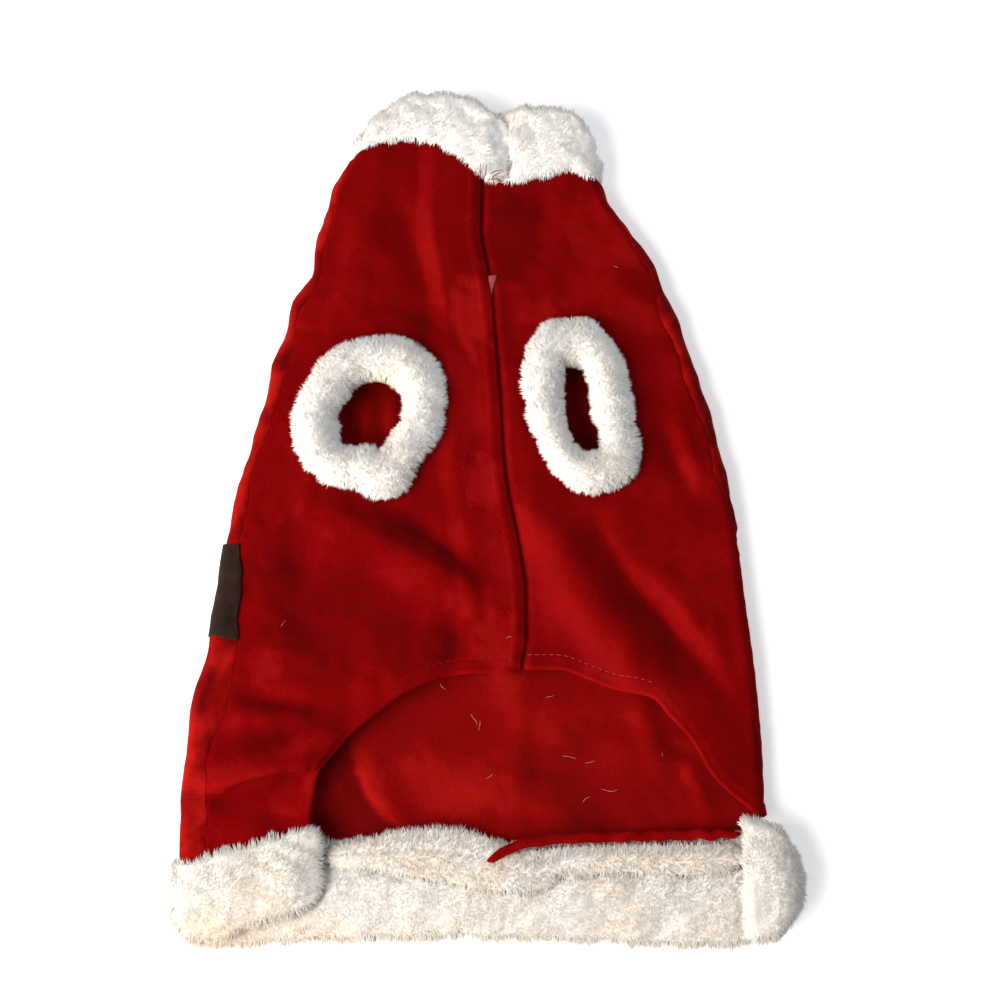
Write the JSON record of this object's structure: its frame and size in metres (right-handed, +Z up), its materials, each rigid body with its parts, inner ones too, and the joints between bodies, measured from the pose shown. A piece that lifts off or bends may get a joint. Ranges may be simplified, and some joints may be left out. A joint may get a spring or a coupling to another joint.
{
  "type": "dog santa costume",
  "caption": "Red velour pet coat lying flat on its back, belly side up, with white fur collar, leg bands and hem band and a black belt strip on the back.",
  "frame": {"origin": "middle of the bounding box's base, on the surface that the coat lies on", "axes": "+X across the coat, towards the belly's right panel; +Y from the hem to the neck; +Z up from the surface, out of the belly side"},
  "size_m": [0.2924, 0.4321, 0.0218],
  "materials": {
    "red_velour": "short soft nap with a slight sheen",
    "white_fur": "short-pile artificial fur",
    "black_felt": "matt brown-black strip",
    "closure_tape": "matt hook-and-loop tape"
  },
  "bodies": {
    "root": {"back_panel": "red_velour", "belly_left": "red_velour", "belly_right": "red_velour", "collar": "white_fur", "cuff_left": "white_fur", "cuff_right": "white_fur", "hem_band": "white_fur", "hem_facing": "white_fur", "belt": "black_felt", "closure_hook_1": "closure_tape", "closure_hook_2": "closure_tape", "closure_hook_3": "closure_tape", "closure_loop_1": "closure_tape", "closure_loop_2": "closure_tape", "closure_loop_3": "closure_tape"}
  },
  "joints": []
}
